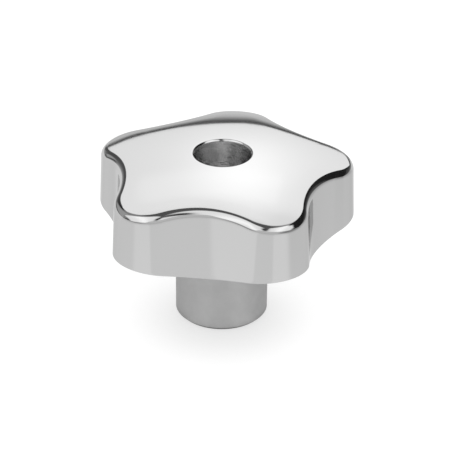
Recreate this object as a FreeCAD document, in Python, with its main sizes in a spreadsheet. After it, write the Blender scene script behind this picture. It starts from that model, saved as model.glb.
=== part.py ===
import FreeCAD, Part
import math
import os

import Sketcher

# Star knob: one stainless casting, a five-lobed grip head on a round hub, bored right through.
# Millimetres, +Z up along the bore. The origin is where the bore's axis meets the hub's seating
# face, and one lobe points along +Y.

DIMENSIONS = [
    ("grip_diameter", 50.0, "twice the reach of a lobe tip, at the lower edge of the rim"),
    ("lobe_count", 5, "lobes round the head"),
    ("lobe_radius", 7.7, "outline radius of a lobe"),
    ("recess_radius", 18.3, "outline radius of a finger recess, tangent to both its lobes"),
    ("wall_draft", 2.5, "degrees by which the side wall leans in towards the top"),
    ("total_height", 33.4, "seating face to the crown of the head, on the axis"),
    ("rim_height", 19.4, "seating face to the lower edge of the rim, at a lobe tip"),
    ("crown_radius", 88.0, "radius of the domed top"),
    ("underside_slope", 15.2, "degrees by which the underside falls towards the hub"),
    ("rim_fillet", 1.7, "rounding between the top and the side wall"),
    ("lower_edge_chamfer", 0.3, "edge break between the side wall and the underside"),
    ("hub_diameter", 17.4, "turned hub"),
    ("hub_fillet", 2.0, "cast fillet where the hub meets the underside"),
    ("hub_chamfer", 0.6, "edge break round the seating face"),
    ("bore_diameter", 10.5, "plain through bore"),
    ("bore_chamfer", 0.3, "edge break at both mouths of the bore"),
]
SIZE = {name: value for name, value, note in DIMENSIONS}

GRIP_RADIUS = SIZE["grip_diameter"] / 2
HUB_RADIUS = SIZE["hub_diameter"] / 2
BORE_RADIUS = SIZE["bore_diameter"] / 2
SLOPE = math.tan(math.radians(SIZE["underside_slope"]))
TOUCH = 0.001


def add_dimension_sheet(document):
    """The driving dimensions, one row each: what it is, then its value under its own alias."""
    sheet = document.addObject("Spreadsheet::Sheet", "Dimensions")
    for row, (name, value, note) in enumerate(DIMENSIONS, start=1):
        sheet.set(f"A{row}", note)
        sheet.set(f"B{row}", str(value))
        sheet.setAlias(f"B{row}", name)
    document.recompute()


def origin_plane(body, role):
    return next(item for item in body.Origin.OriginFeatures if item.Role == role)


def add_sketch(body, name, plane_role):
    """An empty sketch on one of the body's own origin planes."""
    sketch = body.newObject("Sketcher::SketchObject", name)
    sketch.AttachmentSupport = [(origin_plane(body, plane_role), "")]
    sketch.MapMode = "FlatFace"
    return sketch


def drive(sketch, constraint, name, expression):
    """Add a dimension to a sketch under a name of its own and bind it to the sheet."""
    index = sketch.addConstraint(constraint)
    sketch.renameConstraint(index, name)
    sketch.setExpression(f"Constraints.{name}", expression)


def polar(distance, angle):
    return FreeCAD.Vector(distance * math.cos(angle), distance * math.sin(angle), 0)


def direction(start, end):
    return math.atan2(end.y - start.y, end.x - start.x)


def add_arc(sketch, centre, radius, start_angle, end_angle):
    circle = Part.Circle(centre, FreeCAD.Vector(0, 0, 1), radius)
    return sketch.addGeometry(Part.ArcOfCircle(circle, start_angle, end_angle), False)


def add_centred_circle(sketch, radius):
    """A construction circle about the axis."""
    circle = Part.Circle(FreeCAD.Vector(), FreeCAD.Vector(0, 0, 1), radius)
    index = sketch.addGeometry(circle, True)
    sketch.addConstraint(Sketcher.Constraint("Coincident", index, 3, -1, 1))
    return index


def draw_outline(sketch):
    """The star outline at the height of the lower edge: lobe and recess arcs, each tangent to the next."""
    count = int(SIZE["lobe_count"])
    lobe_radius = SIZE["lobe_radius"]
    recess_radius = SIZE["recess_radius"]
    half_step = math.pi / count
    lobe_distance = GRIP_RADIUS - lobe_radius
    offside = lobe_distance * math.sin(half_step)
    along = math.sqrt((lobe_radius + recess_radius) ** 2 - offside**2)
    recess_distance = lobe_distance * math.cos(half_step) + along

    lobes = []
    recesses = []
    for number in range(count):
        angle = math.pi / 2 + 2 * half_step * number
        lobe = polar(lobe_distance, angle)
        next_lobe = polar(lobe_distance, angle + 2 * half_step)
        recess_before = polar(recess_distance, angle - half_step)
        recess = polar(recess_distance, angle + half_step)
        lobe_start = direction(lobe, recess_before)
        lobe_end = direction(lobe, recess)
        lobes.append(add_arc(sketch, lobe, lobe_radius, lobe_start, lobe_end))
        recess_start = direction(recess, next_lobe)
        recess_end = direction(recess, lobe)
        recesses.append(add_arc(sketch, recess, recess_radius, recess_start, recess_end))

    for number in range(count):
        following = lobes[(number + 1) % count]
        sketch.addConstraint(Sketcher.Constraint("Tangent", lobes[number], 2, recesses[number], 2))
        sketch.addConstraint(Sketcher.Constraint("Tangent", recesses[number], 1, following, 1))
    for number in range(1, count):
        sketch.addConstraint(Sketcher.Constraint("Equal", lobes[0], lobes[number]))
        sketch.addConstraint(Sketcher.Constraint("Equal", recesses[0], recesses[number]))
    space_evenly(sketch, lobes, lobe_distance, recesses, recess_distance)
    drive(sketch, Sketcher.Constraint("Radius", lobes[0], lobe_radius),
          "lobe_radius", "Dimensions.lobe_radius")
    drive(sketch, Sketcher.Constraint("Radius", recesses[0], recess_radius),
          "recess_radius", "Dimensions.recess_radius")


def space_evenly(sketch, lobes, lobe_distance, recesses, recess_distance):
    """Lobe centres lie on one circle and recess centres on another, which spaces them evenly."""
    lobe_circle = add_centred_circle(sketch, lobe_distance)
    recess_circle = add_centred_circle(sketch, recess_distance)
    for lobe in lobes:
        sketch.addConstraint(Sketcher.Constraint("PointOnObject", lobe, 3, lobe_circle))
    for recess in recesses:
        sketch.addConstraint(Sketcher.Constraint("PointOnObject", recess, 3, recess_circle))
    sketch.addConstraint(Sketcher.Constraint("PointOnObject", lobes[0], 3, -2))
    drive(sketch, Sketcher.Constraint("Radius", lobe_circle, lobe_distance),
          "lobe_distance", "Dimensions.grip_diameter / 2 - Dimensions.lobe_radius")


def add_blank(body):
    """The lobed blank, with upright walls. It reaches from the seating face to a fillet's height
    above the crown, and the turning cuts take the hub and the dome out of it."""
    outline = add_sketch(body, "grip_outline", "XY_Plane")
    draw_outline(outline)
    outline.setExpression("AttachmentOffset.Base.z", "Dimensions.rim_height")
    blank = body.newObject("PartDesign::Pad", "blank")
    blank.Profile = outline
    blank.SideType = "Two sides"
    blank.setExpression(
        "Length", "Dimensions.total_height - Dimensions.rim_height + Dimensions.rim_fillet")
    blank.setExpression("Length2", "Dimensions.rim_height")


def draft_walls(body):
    """The walls lean in towards the top, and keep the outline at the height of the lower edge."""
    lower_edge_plane = body.newObject("PartDesign::Plane", "lower_edge_plane")
    lower_edge_plane.AttachmentSupport = [(origin_plane(body, "XY_Plane"), "")]
    lower_edge_plane.MapMode = "FlatFace"
    lower_edge_plane.setExpression("AttachmentOffset.Base.z", "Dimensions.rim_height")
    body.Document.recompute()
    blank = body.Tip
    walls = [
        f"Face{number}" for number, face in enumerate(blank.Shape.Faces, start=1)
        if isinstance(face.Surface, Part.Cylinder)
    ]
    draft = body.newObject("PartDesign::Draft", "wall_draft")
    draft.Base = (blank, walls)
    draft.NeutralPlane = (lower_edge_plane, [""])
    draft.setExpression("Angle", "Dimensions.wall_draft")


def add_path(sketch, corners):
    """Straight lines from corner to corner, each joined to the next, and the index of each."""
    lines = [
        sketch.addGeometry(Part.LineSegment(FreeCAD.Vector(*start, 0), FreeCAD.Vector(*end, 0)), False)
        for start, end in zip(corners, corners[1:])
    ]
    for line, following in zip(lines, lines[1:]):
        sketch.addConstraint(Sketcher.Constraint("Coincident", line, 2, following, 1))
    return lines


def groove_round_axis(body, name, sketch):
    """Turn the section about the bore's axis and take it away."""
    groove = body.newObject("PartDesign::Groove", name)
    groove.Profile = sketch
    groove.ReferenceAxis = (sketch, ["V_Axis"])
    groove.Angle = 360


def cut_hub_and_underside(body):
    """Below the head only the hub stays. The underside is a shallow cone that falls from the rim
    to the hub, so the rim's lower edge dips at each recess, and a fillet joins it to the hub."""
    reach = GRIP_RADIUS + SIZE["lobe_radius"]
    chamfer_size = SIZE["hub_chamfer"]
    root = SIZE["hub_fillet"]
    apex = SIZE["rim_height"] - GRIP_RADIUS * SLOPE
    slope_angle = math.radians(SIZE["underside_slope"])
    centre_x = HUB_RADIUS + root
    centre_z = apex + centre_x * SLOPE - root / math.cos(slope_angle)
    cone_x = centre_x - root * math.sin(slope_angle)

    sketch = add_sketch(body, "hub_section", "YZ_Plane")
    chamfer_line, hub_line = add_path(sketch, [
        (HUB_RADIUS - 2 * chamfer_size, -chamfer_size),
        (HUB_RADIUS, chamfer_size),
        (HUB_RADIUS, centre_z),
    ])
    fillet_arc = add_arc(sketch, FreeCAD.Vector(centre_x, centre_z, 0), root,
                         math.pi / 2 + slope_angle, math.pi)
    cone_line, outer_line, floor_line = add_path(sketch, [
        (cone_x, apex + cone_x * SLOPE),
        (reach, apex + reach * SLOPE),
        (reach, -chamfer_size),
        (HUB_RADIUS - 2 * chamfer_size, -chamfer_size),
    ])
    sketch.addConstraint(Sketcher.Constraint("Tangent", hub_line, 2, fillet_arc, 2))
    sketch.addConstraint(Sketcher.Constraint("Tangent", fillet_arc, 1, cone_line, 1))
    sketch.addConstraint(Sketcher.Constraint("Coincident", floor_line, 2, chamfer_line, 1))
    sketch.addConstraint(Sketcher.Constraint("Vertical", hub_line))
    sketch.addConstraint(Sketcher.Constraint("Vertical", outer_line))
    sketch.addConstraint(Sketcher.Constraint("Horizontal", floor_line))
    drive(sketch, Sketcher.Constraint("DistanceX", -1, 1, hub_line, 1, HUB_RADIUS),
          "hub_radius", "Dimensions.hub_diameter / 2")
    drive(sketch, Sketcher.Constraint("DistanceY", -1, 1, hub_line, 1, chamfer_size),
          "chamfer_height", "Dimensions.hub_chamfer")
    drive(sketch, Sketcher.Constraint("DistanceY", chamfer_line, 1, -1, 1, chamfer_size),
          "below_seat", "Dimensions.hub_chamfer")
    drive(sketch, Sketcher.Constraint("DistanceX", chamfer_line, 1, chamfer_line, 2, 2 * chamfer_size),
          "chamfer_run", "2 * Dimensions.hub_chamfer")
    drive(sketch, Sketcher.Constraint("Radius", fillet_arc, root),
          "hub_fillet", "Dimensions.hub_fillet")
    drive(sketch, Sketcher.Constraint("DistanceX", -1, 1, outer_line, 1, reach),
          "reach", "Dimensions.grip_diameter / 2 + Dimensions.lobe_radius")
    place_cone(sketch, cone_line, slope_angle)
    groove_round_axis(body, "hub_and_underside", sketch)


def place_cone(sketch, cone_line, slope_angle):
    """The cone's line passes through the lower edge of the rim at a lobe tip, at its own slope."""
    rim = sketch.addGeometry(Part.Point(FreeCAD.Vector(GRIP_RADIUS, SIZE["rim_height"], 0)), True)
    sketch.addConstraint(Sketcher.Constraint("PointOnObject", rim, 1, cone_line))
    drive(sketch, Sketcher.Constraint("DistanceX", -1, 1, rim, 1, GRIP_RADIUS),
          "rim_radius", "Dimensions.grip_diameter / 2")
    drive(sketch, Sketcher.Constraint("DistanceY", -1, 1, rim, 1, SIZE["rim_height"]),
          "rim_height", "Dimensions.rim_height")
    drive(sketch, Sketcher.Constraint("Angle", -1, 1, cone_line, 1, slope_angle),
          "slope", "Dimensions.underside_slope * 1 deg")


def cut_crown(body):
    """The top is a shallow dome, part of a sphere centred on the bore's axis. Its section is turned
    about a level line through the sphere's centre, which leaves no seam on the dome."""
    reach = GRIP_RADIUS + SIZE["lobe_radius"]
    height = SIZE["total_height"]
    radius = SIZE["crown_radius"]
    above = height + GRIP_RADIUS
    centre = FreeCAD.Vector(0, height - radius, 0)
    edge = height - radius + math.sqrt(radius**2 - reach**2)
    sketch = add_sketch(body, "crown_section", "XZ_Plane")
    dome_start = direction(centre, FreeCAD.Vector(reach, edge, 0))
    dome = add_arc(sketch, centre, radius, dome_start, math.pi - dome_start)
    left_line, top_line, right_line = add_path(
        sketch, [(-reach, edge), (-reach, above), (reach, above), (reach, edge)])
    crown = sketch.addGeometry(Part.Point(FreeCAD.Vector(0, height, 0)), True)
    level_end = FreeCAD.Vector(reach, centre.y, 0)
    level_line = sketch.addGeometry(Part.LineSegment(centre, level_end), True)
    sketch.addConstraint(Sketcher.Constraint("Coincident", dome, 2, left_line, 1))
    sketch.addConstraint(Sketcher.Constraint("Coincident", right_line, 2, dome, 1))
    sketch.addConstraint(Sketcher.Constraint("Symmetric", top_line, 1, top_line, 2, -2))
    sketch.addConstraint(Sketcher.Constraint("Vertical", left_line))
    sketch.addConstraint(Sketcher.Constraint("Vertical", right_line))
    sketch.addConstraint(Sketcher.Constraint("PointOnObject", dome, 3, -2))
    sketch.addConstraint(Sketcher.Constraint("PointOnObject", crown, 1, -2))
    sketch.addConstraint(Sketcher.Constraint("PointOnObject", crown, 1, dome))
    sketch.addConstraint(Sketcher.Constraint("Coincident", level_line, 1, dome, 3))
    sketch.addConstraint(Sketcher.Constraint("Horizontal", level_line))
    sketch.addConstraint(Sketcher.Constraint("Vertical", level_line, 2, right_line, 2))
    drive(sketch, Sketcher.Constraint("Radius", dome, radius),
          "crown_radius", "Dimensions.crown_radius")
    drive(sketch, Sketcher.Constraint("DistanceY", -1, 1, crown, 1, height),
          "total_height", "Dimensions.total_height")
    drive(sketch, Sketcher.Constraint("DistanceY", -1, 1, top_line, 1, above),
          "above", "Dimensions.total_height + Dimensions.grip_diameter / 2")
    drive(sketch, Sketcher.Constraint("DistanceX", -1, 1, right_line, 1, reach),
          "reach", "Dimensions.grip_diameter / 2 + Dimensions.lobe_radius")
    groove = body.newObject("PartDesign::Groove", "crown")
    groove.Profile = sketch
    groove.ReferenceAxis = (sketch, ["Axis0"])
    groove.Angle = 180
    groove.Midplane = True


def cut_bore(body):
    """The bore runs up from the seating face and right through the crown."""
    sketch = add_sketch(body, "bore_section", "XY_Plane")
    circle = Part.Circle(FreeCAD.Vector(), FreeCAD.Vector(0, 0, 1), BORE_RADIUS)
    index = sketch.addGeometry(circle, False)
    sketch.addConstraint(Sketcher.Constraint("Coincident", index, 3, -1, 1))
    drive(sketch, Sketcher.Constraint("Diameter", index, SIZE["bore_diameter"]),
          "bore_diameter", "Dimensions.bore_diameter")
    bore = body.newObject("PartDesign::Pocket", "bore")
    bore.Profile = sketch
    bore.Type = "ThroughAll"
    bore.Reversed = True


def edge_names(shape, belongs):
    """Names of the edges whose ends and middle all pass the test on radius and height."""
    names = []
    for number, edge in enumerate(shape.Edges, start=1):
        first, last = edge.ParameterRange
        points = [edge.valueAt(first), edge.valueAt((first + last) / 2), edge.valueAt(last)]
        if all(belongs(math.hypot(point.x, point.y), point.z) for point in points):
            names.append(f"Edge{number}")
    return names


def on_underside(radius, height):
    return abs(height - SIZE["rim_height"] + (GRIP_RADIUS - radius) * SLOPE) < TOUCH


def on_crown(radius, height):
    centre = SIZE["total_height"] - SIZE["crown_radius"]
    return abs(math.hypot(radius, height - centre) - SIZE["crown_radius"]) < TOUCH


def on_wall(radius):
    return radius > HUB_RADIUS + SIZE["hub_fillet"]


def in_bore(radius):
    return abs(radius - BORE_RADIUS) < TOUCH


def dress_edges(body, kind, name, size_property, size_name, belongs):
    """A fillet or a chamfer on the body's edges that pass the test."""
    body.Document.recompute()
    base = body.Tip
    feature = body.newObject(kind, name)
    feature.Base = (base, edge_names(base.Shape, belongs))
    feature.setExpression(size_property, f"Dimensions.{size_name}")


def build_star_knob(document):
    body = document.addObject("PartDesign::Body", "star_knob")
    body.Label = "star_knob"
    add_blank(body)
    draft_walls(body)
    cut_hub_and_underside(body)
    cut_crown(body)
    dress_edges(body, "PartDesign::Fillet", "rim_rounding", "Radius", "rim_fillet",
                lambda radius, height: on_wall(radius) and on_crown(radius, height))
    dress_edges(body, "PartDesign::Chamfer", "lower_edge", "Size", "lower_edge_chamfer",
                lambda radius, height: on_wall(radius) and on_underside(radius, height))
    cut_bore(body)
    dress_edges(body, "PartDesign::Chamfer", "bore_mouths", "Size", "bore_chamfer",
                lambda radius, height: in_bore(radius) and (on_crown(radius, height) or height < TOUCH))
    document.recompute()
    return body


def check_document(document):
    """Stop on any feature that failed to compute."""
    for item in document.Objects:
        failed = [state for state in item.State if state in ("Invalid", "Error")]
        if failed:
            raise RuntimeError(f"{item.Name} did not compute: {failed}")


def export(body):
    shape = body.Shape
    if shape.isNull() or not shape.isValid():
        raise RuntimeError(f"{body.Label} has no valid shape")
    shape.exportStep(f"parts/{body.Label}.step")


os.makedirs("parts", exist_ok=True)
knob_document = FreeCAD.newDocument("star_knob")
add_dimension_sheet(knob_document)
star_knob = build_star_knob(knob_document)
check_document(knob_document)
export(star_knob)
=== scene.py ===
import math

import bpy
from mathutils import Matrix, Vector


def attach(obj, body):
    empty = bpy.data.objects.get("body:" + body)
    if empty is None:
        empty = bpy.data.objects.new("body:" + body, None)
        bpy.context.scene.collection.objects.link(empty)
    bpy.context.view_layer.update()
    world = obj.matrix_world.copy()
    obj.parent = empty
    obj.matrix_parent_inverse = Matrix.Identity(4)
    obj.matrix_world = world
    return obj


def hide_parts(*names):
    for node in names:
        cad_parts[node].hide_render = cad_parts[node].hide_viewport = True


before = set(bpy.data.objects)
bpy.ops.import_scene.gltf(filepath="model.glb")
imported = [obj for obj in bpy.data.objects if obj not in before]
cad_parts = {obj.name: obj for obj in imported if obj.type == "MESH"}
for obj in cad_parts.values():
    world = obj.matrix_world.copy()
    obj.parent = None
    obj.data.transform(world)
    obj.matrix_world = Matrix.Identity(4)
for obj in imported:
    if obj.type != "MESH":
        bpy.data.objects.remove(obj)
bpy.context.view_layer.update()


# The polished faces: the dome, the rolled rim and the side wall. Stainless steel, ground and then
# buffed on a soft wheel, which leaves it almost a mirror, with faint waves and very fine scratches.
class Socket:
    """One output of a node. Arithmetic on it adds Math nodes, or Vector Math where it is a vector."""

    def __init__(self, tree, output=None):
        self.tree = tree
        self.output = output

    def node(self, kind, settings=None, inputs=None, output=0):
        """Add a node: its settings first, then the number or the link of each socket.

        The setting "items" is the number of choices of a switch. A list goes into one socket, link
        by link.
        """
        node = self.tree.nodes.new(kind)
        for name, value in (settings or {}).items():
            if name == "items":
                while len(node.index_switch_items) < value:
                    node.index_switch_items.new()
            else:
                setattr(node, name, value)
        for name, value in (inputs or {}).items():
            for item in value if isinstance(value, list) else [value]:
                if isinstance(item, Socket):
                    self.tree.links.new(item.output, node.inputs[name])
                else:
                    node.inputs[name].default_value = item
        return Socket(self.tree, node.outputs[output] if node.outputs else None)

    def named(self, name):
        """Another output of the same node."""
        return Socket(self.tree, self.output.node.outputs[name])

    def is_vector(self):
        return self.output.type == "VECTOR"

    def combine(self, operation, values):
        """Those values, in that order, through one operation."""
        vectors = [value for value in values if isinstance(value, Socket) and value.is_vector()]
        if operation == "MULTIPLY" and len(vectors) == 1:
            factor = next(value for value in values if value is not vectors[0])
            return self.node("ShaderNodeVectorMath", {"operation": "SCALE"},
                             {0: vectors[0], "Scale": factor})
        kind = "ShaderNodeVectorMath" if vectors else "ShaderNodeMath"
        output = "Value" if operation in ("DOT_PRODUCT", "LENGTH") else 0
        return self.node(kind, {"operation": operation}, dict(enumerate(values)), output)

    def math(self, operation, *others):
        """This value, and any others, through one operation."""
        return self.combine(operation, (self, *others))

    def __add__(self, other):
        return self.math("ADD", other)

    def __radd__(self, other):
        return self.math("ADD", other)

    def __sub__(self, other):
        return self.math("SUBTRACT", other)

    def __rsub__(self, other):
        return self.combine("SUBTRACT", (other, self))

    def __mul__(self, other):
        return self.math("MULTIPLY", other)

    def __rmul__(self, other):
        return self.math("MULTIPLY", other)

    def __truediv__(self, other):
        return self.math("DIVIDE", other)

    def __rtruediv__(self, other):
        return self.combine("DIVIDE", (other, self))

    def __neg__(self):
        return self.math("MULTIPLY", -1)

    def __abs__(self):
        return self.math("ABSOLUTE")

    def __pow__(self, power):
        return self.math("POWER", power)

    def __gt__(self, other):
        return self.math("GREATER_THAN", other)

    def __lt__(self, other):
        return self.math("LESS_THAN", other)

    def at_least(self, other):
        return self.math("MAXIMUM", other)

    def at_most(self, other):
        return self.math("MINIMUM", other)

    def rise(self, start, end):
        """0 up to start and 1 from end on, with a smooth step between them."""
        share = ((self - start) / (end - start)).at_least(0).at_most(1)
        return share * share * (3 - 2 * share)

    def fall(self, start, end):
        """1 up to start and 0 from end on, with a smooth step between them."""
        return 1 - self.rise(start, end)

    def bell(self, centre, width):
        """1 at the centre, dying away to both sides over about that width."""
        offset = (self - centre) / width
        return (-(offset * offset)).math("EXPONENT")

    def parts(self):
        """The three numbers of a vector."""
        split = self.node("ShaderNodeSeparateXYZ", inputs={0: self})
        return split, split.named("Y"), split.named("Z")

    def vector(self, x, y, z):
        return self.node("ShaderNodeCombineXYZ", inputs={"X": x, "Y": y, "Z": z})

    def noise(self, scale, detail, roughness=0.5):
        """Soft noise from 0 to 1 over this position."""
        return self.node("ShaderNodeTexNoise", inputs={
            "Vector": self, "Scale": scale, "Detail": detail, "Roughness": roughness})


def new_finish(name):
    """An empty material, and the position on the piece that wears it."""
    material = bpy.data.materials.new(name)
    material.use_nodes = True
    material.node_tree.nodes.clear()
    place = Socket(material.node_tree).node("ShaderNodeTexCoord", output="Object")
    return material, place


def steel(place, colour, roughness, height, depth):
    """Bare steel in that grey and roughness. The height field stands depth metres proud.

    The tint dims what the steel mirrors where it is seen edge on.
    """
    shade = place.node("ShaderNodeCombineColor", inputs={0: colour, 1: colour, 2: colour})
    relief = place.node("ShaderNodeBump", inputs={
        "Strength": 1.0, "Distance": depth, "Height": height})
    shader = place.node("ShaderNodeBsdfPrincipled", inputs={
        "Base Color": shade, "Metallic": 1.0, "Roughness": roughness, "Normal": relief,
        "Specular Tint": (0.8, 0.8, 0.8, 1.0)})
    place.node("ShaderNodeOutputMaterial", inputs={"Surface": shader})


polished_steel, place = new_finish("polished_steel")
waves = place.noise(70, 1)
scratches = (place * place.vector(1, 1, 0.15)).noise(5000, 3, 0.7)
steel(place, colour=0.60 + 0.02 * waves, roughness=0.05 + 0.05 * scratches,
      height=waves, depth=0.00002)


# The blasted faces: the underside of the head, the root fillet and the hub. They keep the dull grain
# of the bead blasting that cleans the casting, since the hand never touches them.
blasted_steel, place = new_finish("blasted_steel")
grain = place.noise(6000, 2, 0.6)
mottle = place.noise(260, 3, 0.6)
steel(place, colour=0.42 + 0.12 * mottle, roughness=0.36 + 0.14 * grain,
      height=grain, depth=0.00003)


# The turned faces: the bore and the seating face. They are machined in one clamping, and the tool
# leaves fine rings round the axis, stains of its coolant and a few dark streaks where it dragged.
TOOL_FEED = 0.00016
turned_steel, place = new_finish("turned_steel")
x, y, z = place.parts()
radius = (x * x + y * y).math("SQRT")
rings = ((radius + z) * (math.tau / TOOL_FEED)).math("SINE")
stains = (place * place.vector(1, 1, 3)).noise(420, 3, 0.65)
streaks = (place * place.vector(1, 1, 4)).noise(300, 4, 0.7).rise(0.56, 0.66)
steel(place, colour=(0.52 + 0.40 * stains) * (1 - 0.55 * streaks), roughness=0.12 + 0.12 * stains,
      height=rings, depth=0.000008)


# The casting itself: one piece of stainless steel, a five-lobed head on a round hub, bored right
# through. Its outline is a ring of tangent arcs, the wall leans in by the mould's draft, the top is
# turned to a shallow dome, and the underside is a shallow cone that falls to the hub.
knob_sizes = {
    "Grip diameter": 0.0500,
    "Lobes": 5,
    "Lobe radius": 0.0077,
    "Recess radius": 0.0183,
    "Wall draft": math.radians(2.5),
    "Total height": 0.0334,
    "Rim height": 0.0194,
    "Crown radius": 0.0880,
    "Underside slope": math.radians(15.2),
    "Rim fillet": 0.0017,
    "Lower edge": 0.0003,
    "Hub diameter": 0.0174,
    "Hub fillet": 0.0020,
    "Hub chamfer": 0.0006,
    "Bore diameter": 0.0105,
    "Bore chamfer": 0.0003,
    "Edge break": 0.00008,
    "Mouth rounding": 0.0003,
    "Roll-off depth": 0.00006,
    "Roll-off width": 0.0030,
}
knob_tree = bpy.data.node_groups.new("star_knob_casting", "GeometryNodeTree")
knob_tree.interface.new_socket(name="Geometry", in_out="OUTPUT", socket_type="NodeSocketGeometry")
size_identifiers = {}
for name, value in knob_sizes.items():
    kind = "NodeSocketInt" if name == "Lobes" else "NodeSocketFloat"
    socket = knob_tree.interface.new_socket(name=name, in_out="INPUT", socket_type=kind)
    socket.default_value = value
    size_identifiers[name] = socket.identifier
size = Socket(knob_tree).node("NodeGroupInput")

grip_radius = size.named("Grip diameter") / 2
lobes = size.named("Lobes")
lobe_radius = size.named("Lobe radius")
recess_radius = size.named("Recess radius")
wall_draft = size.named("Wall draft")
total_height = size.named("Total height")
rim_height = size.named("Rim height")
crown_radius = size.named("Crown radius")
underside_slope = size.named("Underside slope")
rim_fillet = size.named("Rim fillet")
lower_edge = size.named("Lower edge")
hub_radius = size.named("Hub diameter") / 2
hub_fillet = size.named("Hub fillet")
hub_chamfer = size.named("Hub chamfer")
bore_radius = size.named("Bore diameter") / 2
bore_chamfer = size.named("Bore chamfer")
edge_break = size.named("Edge break")
roll_depth = size.named("Roll-off depth")
roll_width = size.named("Roll-off width")
sphere_height = total_height - crown_radius
slope = underside_slope.math("TANGENT")
cone_apex = rim_height - grip_radius * slope

# Each band of the surface is a grid. Its columns go round the knob and its rows run across the band.
COLUMNS_PER_LOBE = 120
across, along, _ = size.node("GeometryNodeInputPosition").parts()
turn = across + 0.5
row = along + 0.5

# A column's place on the outline: a lobe's arc out to the tangent point, then a recess's arc. From
# the middle of a lobe to the middle of a recess, the lobe's arc takes LOBE_SHARE of the columns.
LOBE_SHARE = 34 / 60
half_step = math.pi / lobes
lobe_reach = grip_radius - lobe_radius
offside = lobe_reach * half_step.math("SINE")
recess_reach = lobe_reach * half_step.math("COSINE") + (
    (lobe_radius + recess_radius) ** 2 - offside**2).math("SQRT")
recess_x = recess_reach * half_step.math("COSINE")
recess_y = recess_reach * half_step.math("SINE")
tangent_angle = recess_y.math("ARCTAN2", recess_x - lobe_reach)
phase = turn * lobes
lobe_number = (phase + 0.5).math("FLOOR")
offset = phase - lobe_number
side = offset.math("SIGN")
share = abs(offset) * 2
on_recess = share > LOBE_SHARE
on_lobe = 1 - on_recess
lobe_turn = tangent_angle * share / LOBE_SHARE
recess_turn = tangent_angle - (tangent_angle - half_step) * (share - LOBE_SHARE) / (1 - LOBE_SHARE)
facing = lobe_turn * on_lobe + recess_turn * on_recess
centre_x = lobe_reach * on_lobe + recess_x * on_recess
centre_y = recess_y * on_recess * side
arc_radius = lobe_radius * on_lobe - recess_radius * on_recess
lobe_angle = lobe_number * half_step * 2 + math.pi / 2
lobe_cos = lobe_angle.math("COSINE")
lobe_sin = lobe_angle.math("SINE")
facing_angle = lobe_angle + facing * side
outward = size.vector(facing_angle.math("COSINE"), facing_angle.math("SINE"), 0.0)
outline = outward * arc_radius + size.vector(
    centre_x * lobe_cos - centre_y * lobe_sin, centre_x * lobe_sin + centre_y * lobe_cos, 0.0)
radial = outline.math("NORMALIZE")
draft_tan = wall_draft.math("TANGENT")
draft_cos = wall_draft.math("COSINE")
wall_normal = outward * draft_cos + size.vector(0.0, 0.0, wall_draft.math("SINE"))


def raised(point, height):
    """A point in plan, lifted to that height."""
    return point + size.vector(0.0, 0.0, height)


def behind_wall(height, depth):
    """The plan point that lies depth behind the drafted wall, at that height."""
    return outline - outward * ((height - rim_height) * draft_tan + depth / draft_cos)


def on_crown(point):
    """A plan point lifted onto the dome."""
    reach_squared = point.math("DOT_PRODUCT", point)
    return raised(point, sphere_height + (crown_radius**2 - reach_squared).math("SQRT"))


def on_underside(point):
    """A plan point lifted onto the cone."""
    return raised(point, cone_apex + point.math("LENGTH") * slope)


def swing(start, end, share):
    """The direction that is this share of the way round from start to end."""
    angle = start.math("DOT_PRODUCT", end).math("ARCCOSINE")
    start_part = ((1 - share) * angle).math("SINE")
    end_part = (share * angle).math("SINE")
    return (start * start_part + end * end_part) * (1 / angle.math("SINE"))


# The rolled rim is a ball that touches the wall and the dome, and the lower edge one that touches
# the wall and the cone. The wall is so steep that a few steps settle each ball's height. Towards
# the rim the dome rolls off by a hair, where the wheel lies on it longest.
SETTLING_STEPS = 3
ball_height = total_height - rim_fillet
for _ in range(SETTLING_STEPS):
    rim_ball = raised(behind_wall(ball_height, rim_fillet), ball_height)
    dome_normal = (rim_ball - size.vector(0.0, 0.0, sphere_height)).math("NORMALIZE")
    crown_normal = (dome_normal + outward * (2 * roll_depth / roll_width)).math("NORMALIZE")
    touch_x, touch_y, touch_z = (rim_ball + crown_normal * rim_fillet).parts()
    dome = on_crown(size.vector(touch_x, touch_y, 0.0)).parts()[2]
    ball_height = ball_height + (dome - roll_depth - touch_z)
rim_ball = raised(behind_wall(ball_height, rim_fillet), ball_height)
rim_wall_line = rim_ball + wall_normal * rim_fillet
rim_crown_line = rim_ball + crown_normal * rim_fillet

ball_height = rim_height
for _ in range(SETTLING_STEPS):
    ball = behind_wall(ball_height, lower_edge)
    ball_height = cone_apex + ball.math("LENGTH") * slope + lower_edge / underside_slope.math("COSINE")
edge_ball = raised(behind_wall(ball_height, lower_edge), ball_height)
cone_normal = ball.math("NORMALIZE") * underside_slope.math("SINE") - size.vector(
    0.0, 0.0, underside_slope.math("COSINE"))
edge_wall_line = edge_ball + wall_normal * lower_edge
edge_cone_line = edge_ball + cone_normal * lower_edge

# The turned section, from the dome down the bore, across the seat, up the hub and out on the cone.
# It starts clear of the rounded mouth of the bore and ends clear of the fillet under the head. Those
# two corners are well rounded, and the others are broken by a hair.
crown_ring = bore_radius + bore_chamfer * 3
cone_ring = hub_radius + hub_fillet * 1.6
mouth_height = on_crown(size.vector(bore_radius, 0.0, 0.0)).parts()[2]
section_corners = [
    on_crown(size.vector(crown_ring, 0.0, 0.0)),
    on_crown(size.vector(bore_radius + bore_chamfer, 0.0, 0.0)),
    size.vector(bore_radius, 0.0, mouth_height - bore_chamfer),
    size.vector(bore_radius, 0.0, bore_chamfer),
    size.vector(bore_radius + bore_chamfer, 0.0, 0.0),
    size.vector(hub_radius - hub_chamfer, 0.0, 0.0),
    size.vector(hub_radius, 0.0, hub_chamfer),
    size.vector(hub_radius, 0.0, cone_apex + hub_radius * slope),
    on_underside(size.vector(cone_ring, 0.0, 0.0)),
]
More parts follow.
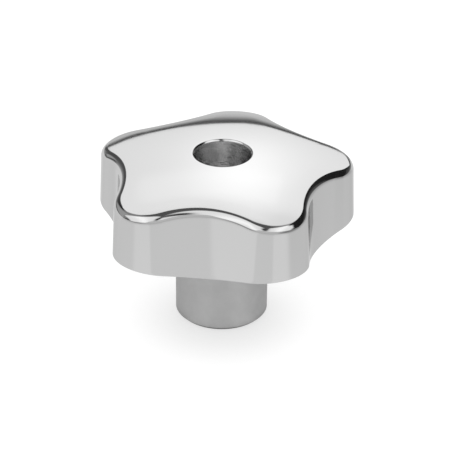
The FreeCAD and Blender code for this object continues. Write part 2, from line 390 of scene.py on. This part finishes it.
BORE_MOUTH = 1
HUB_ROOT = 7
corner_number = size.node("GeometryNodeInputIndex")
corner_place = size.node(
    "GeometryNodeIndexSwitch", {"data_type": "VECTOR", "items": len(section_corners)},
    {"Index": corner_number, **dict(enumerate(section_corners, start=1))})
section = size.node("GeometryNodeMeshLine", {"mode": "OFFSET"}, {"Count": len(section_corners)})
section = size.node("GeometryNodeSetPosition", inputs={"Geometry": section, "Position": corner_place})
section = size.node("GeometryNodeMeshToCurve", inputs={"Mesh": section})
at_root = corner_number.math("COMPARE", HUB_ROOT, 0.1)
at_mouth = corner_number.math("COMPARE", BORE_MOUTH, 0.1)
section = size.node("GeometryNodeFilletCurve", {"mode": "POLY"}, {
    "Curve": section,
    "Count": 3 + (at_root + at_mouth) * 9,
    "Radius": edge_break + (hub_fillet - edge_break) * at_root
    + (size.named("Mouth rounding") - edge_break) * at_mouth,
})
section_count = size.node("GeometryNodeAttributeDomainSize", {"component": "CURVE"}, {0: section})
section_point = size.node("GeometryNodeSampleIndex", {"data_type": "FLOAT_VECTOR", "clamp": True}, {
    "Geometry": section,
    "Value": size.node("GeometryNodeInputPosition"),
    "Index": (row * (section_count - 1)).math("ROUND"),
})
section_radius, _, section_height = section_point.parts()


def band(rows, position):
    """One band of the surface, from the grid's rows and columns."""
    grid = size.node("GeometryNodeMeshGrid", inputs={
        "Size X": 1.0, "Size Y": 1.0, "Vertices X": lobes * COLUMNS_PER_LOBE + 1, "Vertices Y": rows})
    return size.node("GeometryNodeSetPosition", inputs={"Geometry": grid, "Position": position})


# From the cone out: underside, lower edge, wall, rolled rim, dome, and the turned section inside.
# The wall's rows lie closer towards both its edges, and the dome's towards the rim.
eased_row = row * row * (3 - 2 * row)
cone_plan = radial * cone_ring
crown_plan = radial * crown_ring
rim_plan = rim_crown_line * size.vector(1.0, 1.0, 0.0)
edge_plan = edge_cone_line * size.vector(1.0, 1.0, 0.0)
crown_row = rim_plan + (crown_plan - rim_plan) * row**1.6
inside_rim = (rim_plan - crown_row).math("DOT_PRODUCT", outward)
roll_off = (1 - inside_rim / roll_width).at_least(0).at_most(1) ** 2 * roll_depth
bands = [
    band(12, on_underside(cone_plan + (edge_plan - cone_plan) * row)),
    band(6, edge_ball + swing(cone_normal, wall_normal, row) * lower_edge),
    band(9, edge_wall_line + (rim_wall_line - edge_wall_line) * eased_row),
    band(25, rim_ball + swing(wall_normal, crown_normal, row) * rim_fillet),
    band(27, on_crown(crown_row) - size.vector(0.0, 0.0, roll_off)),
    band(section_count, raised(radial * section_radius, section_height)),
]
WELD = 0.000003
surface = size.node("GeometryNodeJoinGeometry", inputs={"Geometry": bands[::-1]})
surface = size.node("GeometryNodeMergeByDistance", inputs={"Geometry": surface, "Distance": WELD})
surface = size.node("GeometryNodeSetShadeSmooth", inputs={"Geometry": surface})

# The finish follows the place: what lies on or under the cone is blasted, and the bore and the seat
# are turned. The wheel rolls into the upper mouth of the bore and polishes most of its rounding. A
# point counts as on the seat or the cone up to these distances above it.
ON_SEAT = 0.00001
ON_CONE = 0.00004
place_x, place_y, place_z = size.node("GeometryNodeInputPosition").parts()
place_radius = (place_x * place_x + place_y * place_y).math("SQRT")
under_cone = place_z < cone_apex + place_radius * slope + ON_CONE
in_bore = place_radius < bore_radius + bore_chamfer * (1.1 - 0.8 * (place_z > rim_height))
turned = in_bore.at_least(place_z < ON_SEAT)
surface = size.node("GeometryNodeRealizeInstances", inputs={"Geometry": surface})
surface = size.node("GeometryNodeSetMaterial", inputs={
    "Geometry": surface, "Material": polished_steel})
surface = size.node("GeometryNodeSetMaterial", inputs={
    "Geometry": surface, "Selection": under_cone, "Material": blasted_steel})
surface = size.node("GeometryNodeSetMaterial", inputs={
    "Geometry": surface, "Selection": turned, "Material": turned_steel})
size.node("NodeGroupOutput", inputs={"Geometry": surface})

knob = bpy.data.objects.new("knob_casting", bpy.data.meshes.new("knob_casting"))
bpy.context.scene.collection.objects.link(knob)
modifier = knob.modifiers.new("casting", "NODES")
modifier.node_group = knob_tree
for name, identifier in size_identifiers.items():
    modifier[identifier] = knob_sizes[name]
bpy.context.view_layer.update()
evaluated = knob.evaluated_get(bpy.context.evaluated_depsgraph_get())
knob.data = bpy.data.meshes.new_from_object(evaluated)
knob.modifiers.clear()
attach(knob, "root")
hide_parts("star_knob")


# The camera stands above the front of the knob, a little round to the right, with a long lens, as
# far off as the photograph's perspective says.
VIEW_TURN = math.radians(8.18)
VIEW_PITCH = math.radians(29.88)
VIEW_ROLL = math.radians(0.505)
VIEW_PLACE = Vector((0.00055, -0.30681, 0.19424))
camera_data = bpy.data.cameras.new("camera")
camera_data.sensor_width = 36
camera_data.lens = 151.32
camera_data.clip_start = 0.01
camera_data.clip_end = 20
camera = bpy.data.objects.new("camera", camera_data)
bpy.context.scene.collection.objects.link(camera)
camera.matrix_world = (
    Matrix.Rotation(VIEW_TURN, 4, "Z")
    @ Matrix.Translation(VIEW_PLACE)
    @ Matrix.Rotation(math.pi / 2 - VIEW_PITCH, 4, "X")
    @ Matrix.Rotation(VIEW_ROLL, 4, "Z")
)
bpy.context.scene.camera = camera


# The table: a wide white sheet that the knob stands on and throws a soft shadow on. It glows so that
# it shows nearly white, and a little less in a painted shadow round the hub. It lies a hair under the
# seat, so that the two never coincide, and can be seen through from below.
TABLE_REACH = 6.0
TABLE_HEIGHT = -0.00003
floor_mesh = bpy.data.meshes.new("floor")
table_corners = [(-1, -1), (1, -1), (1, 1), (-1, 1)]
floor_mesh.from_pydata(
    [(x * TABLE_REACH, y * TABLE_REACH, TABLE_HEIGHT) for x, y in table_corners], [], [(0, 1, 2, 3)])
floor = bpy.data.objects.new("floor", floor_mesh)
bpy.context.scene.collection.objects.link(floor)


def as_seen(x, y):
    """A place or a direction in plan as the camera has it: how far right, and how far back."""
    right = x * math.cos(VIEW_TURN) + y * math.sin(VIEW_TURN)
    back = y * math.cos(VIEW_TURN) - x * math.sin(VIEW_TURN)
    return right, back


floor_white, place = new_finish("floor_white")
rays = place.node("ShaderNodeLightPath", output="Is Camera Ray")
seen = rays.at_least(rays.named("Is Transmission Ray"))
mirrored = rays.named("Is Glossy Ray")
floor_x, floor_y, _ = place.parts()
distance = (floor_x * floor_x + floor_y * floor_y).math("SQRT")
floor_right, floor_back = as_seen(floor_x, floor_y)
# Painted shadow: the glow seen straight on dims towards the hub, centred a little in front of it.
painted_shadow_distance = (floor_right * floor_right + (floor_back + 0.004) ** 2).math("SQRT")
seen_glow = 0.60 + 0.155 * painted_shadow_distance.rise(0.003, 0.020)

# The table in the steel is a painted reflection, a glow that only reflections see: brighter at both
# sides, dimmer far off in front and on the right, with a painted contact shadow where the hub stands
# on it and a painted dark patch behind the knob, as a black card would show. The direction of a place
# is a sine, from -1 at the left to 1 at the right.
beside = floor_right / distance
aside = abs(beside)
side_glow = 0.10 * aside.rise(0.26, 0.34) * aside.fall(0.71, 0.84) - 0.03 * beside.rise(0.68, 0.8)
far_off = 1 - distance.rise(0, 0.3) * (0.22 * (floor_back < 0) + 0.45 * beside.rise(0.6, 0.9))
# Painted contact shadow: a dark ring in the reflected table round the hub's foot.
painted_contact_shadow = 1 - 0.8 * distance.rise(0.0078, 0.0083) * distance.fall(0.0086, 0.0098)
# Painted dark reflection: a patch on the right behind the knob, beyond 30 mm, that the steel mirrors
# dark.
painted_dark_reflection = beside.rise(0.20, 0.26) * beside.fall(0.40, 0.46) * (floor_back > 0) * (distance > 0.030)
mirrored_glow = (0.70 + side_glow) * far_off * painted_contact_shadow - 0.70 * painted_dark_reflection

# The sheet's own grey takes the sky's light and the soft shadow, and the glow lifts it from there.
shade = 0.45 - 0.20 * mirrored
white = rays.node("ShaderNodeCombineColor", inputs={0: shade, 1: shade, 2: shade})
cloth = rays.node("ShaderNodeBsdfDiffuse", inputs={"Color": white})
glow = seen * seen_glow + mirrored * mirrored_glow
glow_white = rays.node("ShaderNodeCombineColor", inputs={0: glow, 1: glow, 2: glow})
light = rays.node("ShaderNodeEmission", inputs={"Color": glow_white, "Strength": 1.0})
lit = rays.node("ShaderNodeAddShader", inputs={0: cloth, 1: light})
below = rays.node("ShaderNodeNewGeometry", output="Backfacing")
floor_surface = rays.node("ShaderNodeMixShader", inputs={
    0: below, 1: lit, 2: rays.node("ShaderNodeBsdfTransparent")})
rays.node("ShaderNodeOutputMaterial", inputs={"Surface": floor_surface})
floor.data.materials.append(floor_white)


# The studio: an even white sky lights the knob, and only what the steel mirrors shows more. There it
# has a bright backdrop, a softbox overhead, and dark gaps and walls between them. A direction is
# right, from -1 to 1, and arch, in degrees up from the back, over the top (90) and to the front (180).
world = bpy.data.worlds.new("studio")
world.use_nodes = True
world.node_tree.nodes.clear()
bpy.context.scene.world = world
toward = Socket(world.node_tree).node("ShaderNodeTexCoord", output="Generated")
east, north, up = toward.parts()
right, back = as_seen(east, north)
left = -right
arch = up.math("ARCTAN2", back) * (180 / math.pi)

# The backdrop stands behind the table, from low_edge up to top_edge, with a leaning left side. It is
# lit most by a spot in the middle and by a panel round it, and less above the panel.
low_edge = 8.0 + (18 * abs(right - 0.04)).at_most(5.5)
top_edge = 58 + 5 * right.rise(0.10, 0.20) - 1.5 * left.rise(0.03, 0.10)
top_blur = 2 + 14 * right.rise(-0.06, 0.0) + 6 * right.rise(0.10, 0.20) + 6 * left.rise(0.26, 0.32)
left_edge = 0.22 + 0.0033 * arch + 0.07 * arch.rise(46, 51)
backdrop = (
    arch.rise(low_edge, low_edge + 0.6)
    * arch.fall(top_edge, top_edge + top_blur)
    * left.fall(left_edge - 0.01, left_edge + 0.015)
    * (right - 0.04 * arch.fall(35, 45)).fall(0.465, 0.50)
)
spot = arch.bell(34, 19) * right.bell(0.05, 0.14)
panel_top = 47.5 + 15 * right.at_least(0)
panel = (
    right.rise(-0.29, -0.20) * right.fall(0.15, 0.18)
    * arch.rise(33, 40) * arch.fall(panel_top - 2, panel_top + 2)
)
over_panel = arch.rise(panel_top + 1, panel_top + 5) * right.rise(-0.12, -0.04)
top_right = right.rise(0.08, 0.2) * arch.rise(46, 56)
backdrop = backdrop * (
    1.53 + 0.12 * right + 0.47 * spot + 0.10 * panel - 0.07 * over_panel - 0.12 * top_right)

# The softbox hangs overhead. Its back edge bulges forward in the middle, the camera hides a part of
# it, and it is hottest halfway out to both sides. In front of it the room is a paler grey.
box_back = (
    75 + 30 * right.bell(0.08, 0.27) + 14 * right.bell(0.09, 0.07)
    + 10 * right.rise(0.48, 0.62) + 35 * right.rise(0.68, 1.0)
)
box_front = 147 + 11 * left.rise(0.25, 0.45)
camera_shape = (1.7 * arch.bell(131 - 50 * right, 13) * right.bell(0.01, 0.11)).at_most(1)
softbox = (
    arch.rise(box_back, box_back + 13) * arch.fall(box_front, box_front + 8)
    * left.fall(0.88, 0.96) * right.fall(0.83, 0.95)
    * (1 - camera_shape) * (1.45 + 0.4 * abs(right).bell(0.5, 0.15))
)
front = arch.rise(box_front, box_front + 8) * (
    0.90 - 0.12 * arch.rise(160, 180) - 0.33 * abs(right).rise(0.4, 0.75)
    - 0.15 * right.rise(0.4, 0.75))

# Between the backdrop and the softbox lies a dark gap, lighter out to both sides. The left wall is
# dark with a paler part far out, and the right one is black but for a faint patch low down.
gap = 0.12 + 0.25 * left.rise(0.27, 0.36) + 0.40 * right.rise(0.22, 0.42)
gap = gap * right.fall(0.465, 0.50) * arch.rise(52, 60) * arch.fall(120, 140)
left_wall = 0.13 * left.fall(0.44, 0.50) + 0.55 * left.rise(0.58, 0.72) * arch.rise(12, 20)
left_wall = left_wall * left.rise(0.20, 0.25) * arch.fall(75, 90)
right_patch = 0.09 * right.rise(0.60, 0.80) * right.fall(0.93, 0.97) * arch.fall(27, 36)

# Below the backdrop the far edge of the table is a dark line in the middle, a degree wide, and the
# dark clears over the next few degrees down. At the sides there is no backdrop, and the table's
# light dies away upwards instead.
LINE_WIDTH = 1.0
clear_width = 8 - 15 * abs(right)
cleared = (low_edge - arch - LINE_WIDTH) / (clear_width - LINE_WIDTH)
middle_edge = 0.08 + 0.92 * cleared.rise(0, 1)
side_height = 5 + 8 * left.rise(0.44, 0.50) * left.fall(0.70, 0.76) + 3 * right.rise(0.5, 0.6)
side_edge = (arch.at_least(0) / -side_height).math("EXPONENT") * (0.85 - 0.25 * right.rise(0.8, 0.9))
at_side = abs(right).rise(0.26, 0.34)
table_edge = (middle_edge * (1 - at_side) + side_edge * at_side) * arch.fall(40, 50)

ROOM_LIGHT = 0.022
studio = backdrop
for lit_part in (softbox, gap, left_wall, front, table_edge, right_patch):
    studio = studio.at_least(lit_part)
reflected = toward.node("ShaderNodeLightPath", output="Is Glossy Ray")
strength = (1 - reflected) + reflected * (studio + ROOM_LIGHT)
background = toward.node("ShaderNodeBackground", inputs={"Strength": strength})
toward.node("ShaderNodeOutputWorld", inputs={"Surface": background})

bpy.context.scene.view_settings.view_transform = "Standard"
